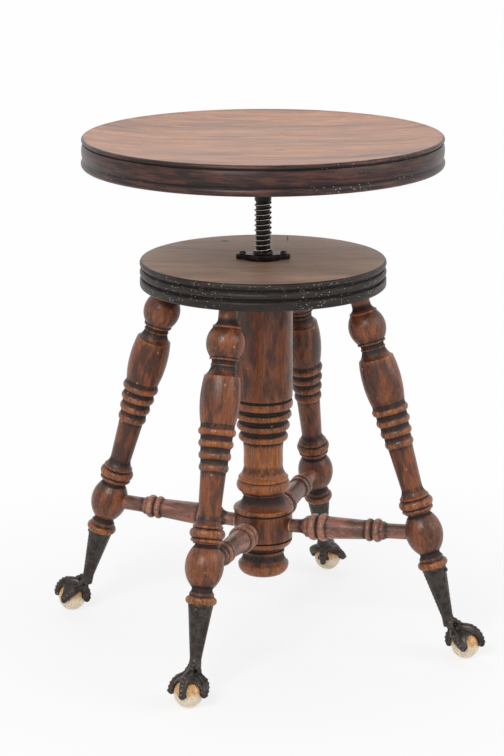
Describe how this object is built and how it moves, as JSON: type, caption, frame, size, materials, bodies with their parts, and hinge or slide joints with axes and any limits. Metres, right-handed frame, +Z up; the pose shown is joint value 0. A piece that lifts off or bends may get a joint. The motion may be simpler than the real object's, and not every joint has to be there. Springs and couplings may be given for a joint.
{
  "type": "revolving piano stool",
  "caption": "Round dished wooden seat on a coarse lead screw over a turned column and raked turned legs, tied by turned stretchers, with cast claw feet that grip glass balls.",
  "frame": {"origin": "on the floor, under the centre of the seat", "axes": "+Z up; the four legs stand on the diagonals between +X and +Y"},
  "size_m": [0.3582, 0.3582, 0.518],
  "materials": {
    "seat_wood": "worn varnish, tan-brown top with a dark rim",
    "platform_wood": "worn varnish, greyed top with a dark rim",
    "turned_wood": "worn walnut-brown varnish",
    "black_iron": "oily black iron with bright thread crests",
    "claw_iron": "darkened cast metal",
    "screw_steel": "darkened steel",
    "nail_steel": "darkened steel",
    "glass": "clear old glass, milky with wear"
  },
  "bodies": {
    "base": {"platform": "platform_wood", "column": "turned_wood", "nut_plate": "black_iron", "nut_plate_screws": "screw_steel", "ferrule_nails": "nail_steel", "leg_front_right": "turned_wood", "stretcher_front_right": "turned_wood", "claw_foot_front_right": "claw_iron", "glass_ball_front_right": "glass", "leg_back_right": "turned_wood", "stretcher_back_right": "turned_wood", "claw_foot_back_right": "claw_iron", "glass_ball_back_right": "glass", "leg_back_left": "turned_wood", "stretcher_back_left": "turned_wood", "claw_foot_back_left": "claw_iron", "glass_ball_back_left": "glass", "leg_front_left": "turned_wood", "stretcher_front_left": "turned_wood", "claw_foot_front_left": "claw_iron", "glass_ball_front_left": "glass"},
    "washer": {"stop_washer": "black_iron"},
    "seat": {"seat": "seat_wood", "seat_plate": "black_iron", "seat_plate_screws": "screw_steel", "lead_screw": "black_iron", "stop_pin": "black_iron"}
  },
  "joints": [
    {"name": "seat_rise", "type": "slide", "parent": "base", "child": "washer", "axis": [0, 0, 1], "range_m": [-0.0497, 0.051]},
    {"name": "seat_turn", "type": "hinge", "parent": "washer", "child": "seat", "pos_m": [0, 0, 0.318], "axis": [0, 0, 1], "range_deg": [-3510, 3600]}
  ],
  "couplings": [
    {"joint": "seat_rise", "follows": "seat_turn", "m_per_rad": 0.00080851}
  ]
}
